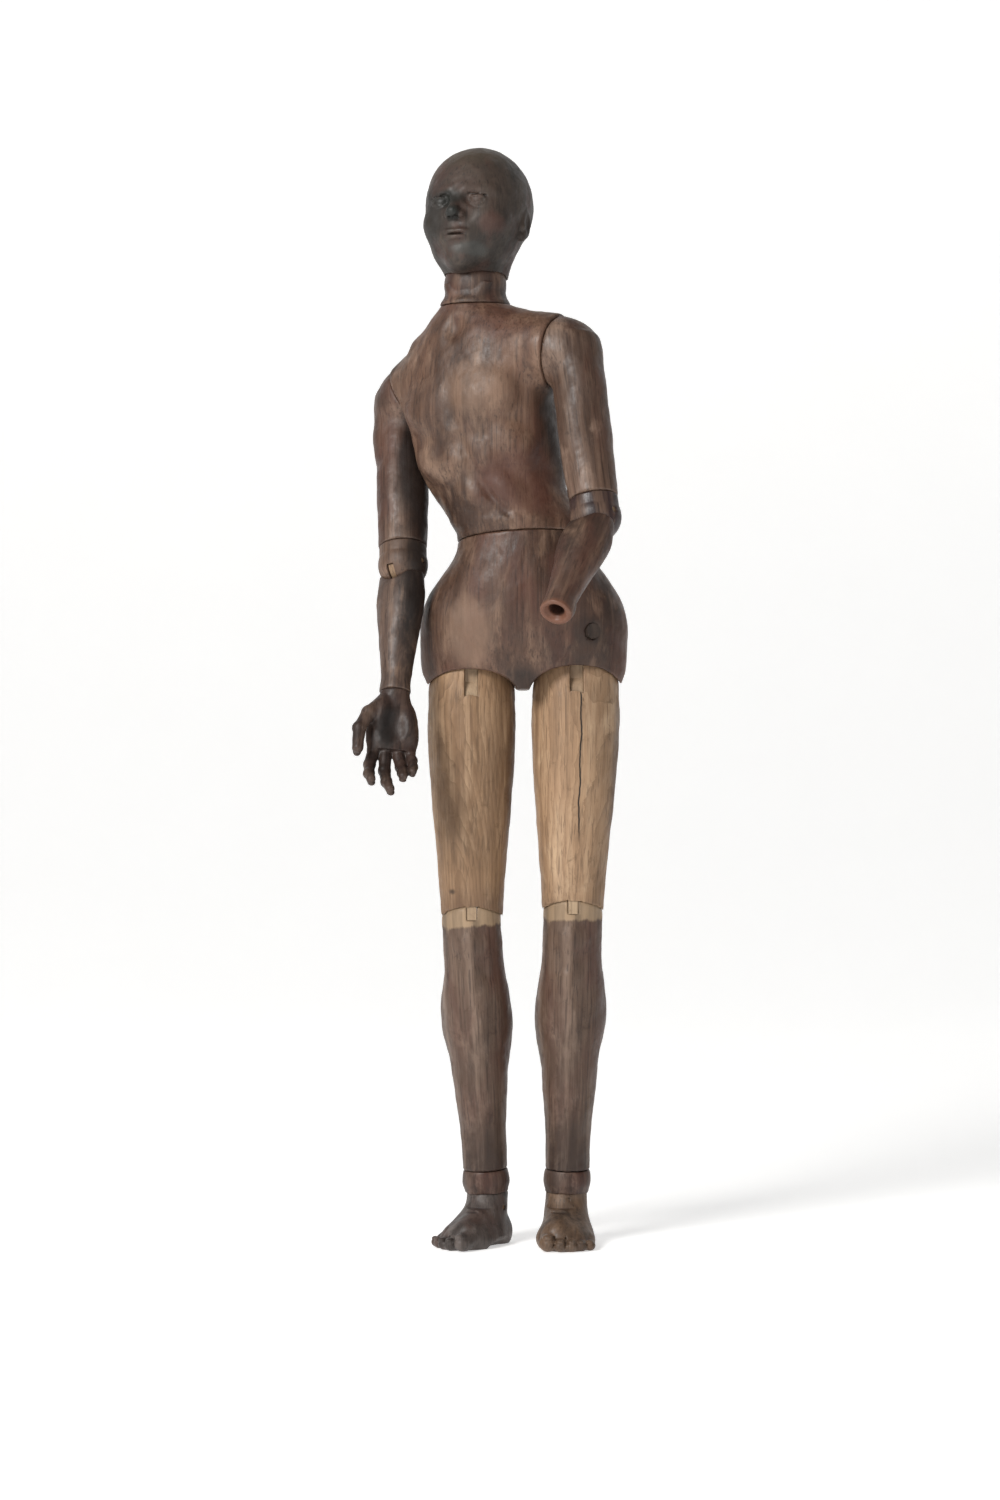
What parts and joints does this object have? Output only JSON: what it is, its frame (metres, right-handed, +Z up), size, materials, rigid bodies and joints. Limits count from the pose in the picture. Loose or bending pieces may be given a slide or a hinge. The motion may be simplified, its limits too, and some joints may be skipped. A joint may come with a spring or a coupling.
{
  "type": "artist mannequin",
  "caption": "Carved wooden artist's lay figure, standing, with turning waist, neck, shoulders and wrist and tongue-hinged elbows, hips, knees and ankles.",
  "frame": {"origin": "on the floor at the middle of the standing figure's outline", "axes": "+Z up, the pelvis and left foot face -Y, the figure's own left side is +X"},
  "size_m": [0.2151, 0.2257, 0.882],
  "materials": {
    "stained_wood": "worn dark brown stain, half-gloss",
    "dark_wood": "very dark stain, half-gloss",
    "head_wood": "dark grey-brown stain, half-gloss",
    "bare_wood": "unstained, waxed, open grain",
    "tongue_wood": "pale bare wood, planed",
    "peg_wood": "pale bare wood, turned",
    "dowel_wood": "bare dowel",
    "plug_wood": "near-black end grain"
  },
  "bodies": {
    "pelvis": {"pelvis": "stained_wood", "waist_peg": "peg_wood", "pelvis_plug": "plug_wood", "right_hip_tongue": "tongue_wood", "left_hip_tongue": "tongue_wood"},
    "torso": {"torso": "stained_wood", "waist_peg_lock": "dowel_wood", "neck_peg_lock": "dowel_wood", "shoulder_peg_locks": "dowel_wood"},
    "neck": {"neck": "stained_wood", "head_pin": "dowel_wood"},
    "head": {"head": "head_wood", "head_tongue": "tongue_wood"},
    "right_upper_arm": {"right_upper_arm": "stained_wood", "right_shoulder_peg": "peg_wood", "right_elbow_peg_lock": "dowel_wood"},
    "right_elbow_knuckle": {"right_elbow_knuckle": "stained_wood", "right_elbow_pin": "dowel_wood"},
    "right_forearm": {"right_forearm": "stained_wood", "right_elbow_tongue": "tongue_wood", "right_wrist_peg_lock": "dowel_wood"},
    "right_thigh": {"right_thigh": "bare_wood", "right_hip_pin": "dowel_wood", "right_knee_tongue": "tongue_wood"},
    "right_shin": {"right_shin": "stained_wood", "right_knee_pin": "dowel_wood", "right_ankle_peg_lock": "dowel_wood"},
    "right_ankle_knuckle": {"right_ankle_knuckle": "stained_wood", "right_ankle_tongue": "tongue_wood"},
    "right_foot": {"right_foot": "dark_wood", "right_ankle_pin": "dowel_wood"},
    "left_upper_arm": {"left_upper_arm": "stained_wood", "left_shoulder_peg": "peg_wood", "left_elbow_peg_lock": "dowel_wood"},
    "left_elbow_knuckle": {"left_elbow_knuckle": "stained_wood", "left_elbow_pin": "dowel_wood"},
    "left_forearm": {"left_forearm": "stained_wood", "left_elbow_tongue": "tongue_wood"},
    "left_thigh": {"left_thigh": "bare_wood", "left_hip_pin": "dowel_wood", "left_knee_tongue": "tongue_wood"},
    "left_shin": {"left_shin": "stained_wood", "left_knee_pin": "dowel_wood", "left_ankle_peg_lock": "dowel_wood"},
    "left_ankle_knuckle": {"left_ankle_knuckle": "stained_wood", "left_ankle_tongue": "tongue_wood"},
    "left_foot": {"left_foot": "stained_wood", "left_ankle_pin": "dowel_wood"},
    "right_hand": {"right_hand": "dark_wood", "right_wrist_peg": "peg_wood"}
  },
  "joints": [
    {"name": "waist_turn", "type": "hinge", "parent": "pelvis", "child": "torso", "pos_m": [0.0244, 0.0446, 0.565], "axis": [-0.04, 0.1301, 0.9907], "range_deg": [-5, 25]},
    {"name": "neck_turn", "type": "hinge", "parent": "torso", "child": "neck", "pos_m": [-0.0146, 0.0506, 0.753], "axis": [0, 0, 1], "range_deg": [-30, 30]},
    {"name": "head_nod", "type": "hinge", "parent": "neck", "child": "head", "pos_m": [-0.0146, 0.0506, 0.77], "axis": [0.9272, -0.3746, 0], "range_deg": [-12, 12]},
    {"name": "right_shoulder_swing", "type": "hinge", "parent": "torso", "child": "right_upper_arm", "pos_m": [-0.0639, 0.0816, 0.6826], "axis": [-0.7081, 0.4587, -0.5368], "range_deg": [0, 60]},
    {"name": "right_elbow_swivel", "type": "hinge", "parent": "right_upper_arm", "child": "right_elbow_knuckle", "pos_m": [-0.0723, 0.0386, 0.5446], "axis": [-0.016, 0.3583, 0.9335], "range_deg": [-30, 30]},
    {"name": "right_elbow_bend", "type": "hinge", "parent": "right_elbow_knuckle", "child": "right_forearm", "pos_m": [-0.0723, 0.0386, 0.5446], "axis": [-0.8394, 0.5025, -0.2072], "range_deg": [0, 60]},
    {"name": "left_shoulder_swing", "type": "hinge", "parent": "torso", "child": "left_upper_arm", "pos_m": [0.0507, 0.0136, 0.7125], "axis": [-0.8695, 0.4771, 0.1277], "range_deg": [-15, 60]},
    {"name": "left_elbow_swivel", "type": "hinge", "parent": "left_upper_arm", "child": "left_elbow_knuckle", "pos_m": [0.0799, -0.0324, 0.5782], "axis": [-0.1163, 0.2796, 0.953], "range_deg": [-25, 25]},
    {"name": "left_elbow_bend", "type": "hinge", "parent": "left_elbow_knuckle", "child": "left_forearm", "pos_m": [0.0799, -0.0324, 0.5782], "axis": [-0.7217, 0.6355, -0.2745], "range_deg": [-35, 24]},
    {"name": "right_wrist_swivel", "type": "hinge", "parent": "right_forearm", "child": "right_hand", "pos_m": [-0.0775, -0.0024, 0.4417], "axis": [0.0469, 0.3697, 0.928], "range_deg": [-40, 40]},
    {"name": "right_hip_swing", "type": "hinge", "parent": "pelvis", "child": "right_thigh", "pos_m": [-0.0176, 0.0496, 0.432], "axis": [-1, 0, 0], "range_deg": [-12, 22]},
    {"name": "right_knee_bend", "type": "hinge", "parent": "right_thigh", "child": "right_shin", "pos_m": [-0.0173, 0.0516, 0.253], "axis": [1, 0, 0], "range_deg": [0, 60]},
    {"name": "right_ankle_swivel", "type": "hinge", "parent": "right_shin", "child": "right_ankle_knuckle", "pos_m": [-0.00657, 0.05679, 0.06], "axis": [0.0555, 0.0269, -0.9981], "range_deg": [-30, 12]},
    {"name": "right_ankle_tilt", "type": "hinge", "parent": "right_ankle_knuckle", "child": "right_foot", "pos_m": [-0.0049, 0.0576, 0.03], "axis": [0.788, -0.6157, 0], "range_deg": [-15, 15]},
    {"name": "left_hip_swing", "type": "hinge", "parent": "pelvis", "child": "left_thigh", "pos_m": [0.066, 0.0496, 0.435], "axis": [-1, 0, 0], "range_deg": [-12, 22]},
    {"name": "left_knee_bend", "type": "hinge", "parent": "left_thigh", "child": "left_shin", "pos_m": [0.0634, 0.0516, 0.258], "axis": [1, 0, 0], "range_deg": [0, 60]},
    {"name": "left_ankle_swivel", "type": "hinge", "parent": "left_shin", "child": "left_ankle_knuckle", "pos_m": [0.0594, 0.05681, 0.06], "axis": [0.0202, -0.0263, 0.9995], "range_deg": [-8, 35]},
    {"name": "left_ankle_tilt", "type": "hinge", "parent": "left_ankle_knuckle", "child": "left_foot", "pos_m": [0.0588, 0.0576, 0.03], "axis": [0.9994, -0.0349, 0], "range_deg": [-15, 15]}
  ]
}
